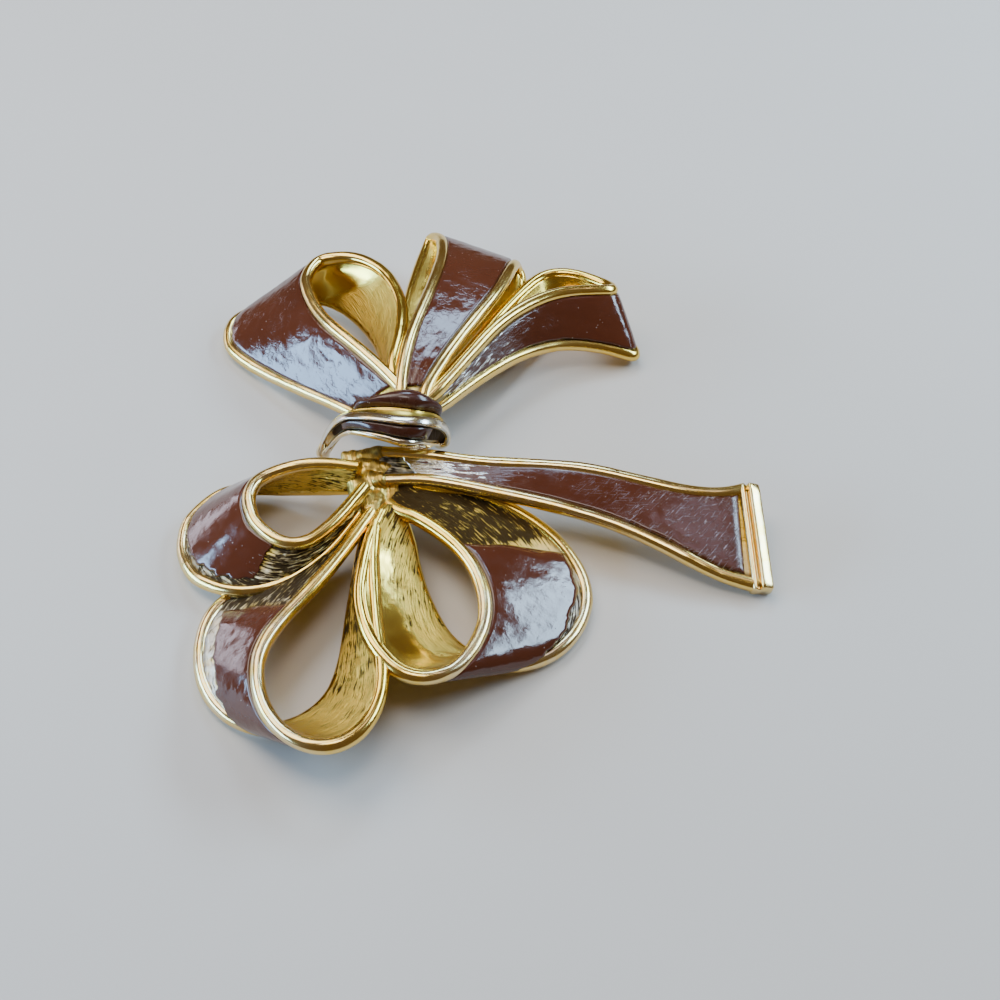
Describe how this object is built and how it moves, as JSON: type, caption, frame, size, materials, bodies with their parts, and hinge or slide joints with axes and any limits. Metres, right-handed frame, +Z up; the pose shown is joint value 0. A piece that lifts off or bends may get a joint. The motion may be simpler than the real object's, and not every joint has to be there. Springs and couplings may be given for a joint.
{
  "type": "bow brooch",
  "caption": "Bow of gold-tone ribbon loops with enamelled channels, gathered by a wrapped knot, with a long flared tail and a pin along its back.",
  "frame": {"origin": "middle of the brooch's outline, on the surface it lies on", "axes": "+Z up from that surface, out of the brooch's face; +Y from the bottom loops to the upper loops; +X to the tail's end"},
  "size_m": [0.0613, 0.076, 0.0111],
  "materials": {
    "gold": "polished",
    "enamel": "glossy"
  },
  "bodies": {
    "root": {"upper_loops": "gold", "lower_loops": "gold", "knot_band": "gold", "upper_left_enamel": "enamel", "upper_middle_enamel": "enamel", "upper_right_enamel": "enamel", "lower_left_enamel": "enamel", "bottom_left_enamel": "enamel", "bottom_right_enamel": "enamel", "tail_enamel": "enamel", "knot_enamel": "enamel", "pin": "gold"}
  },
  "joints": []
}
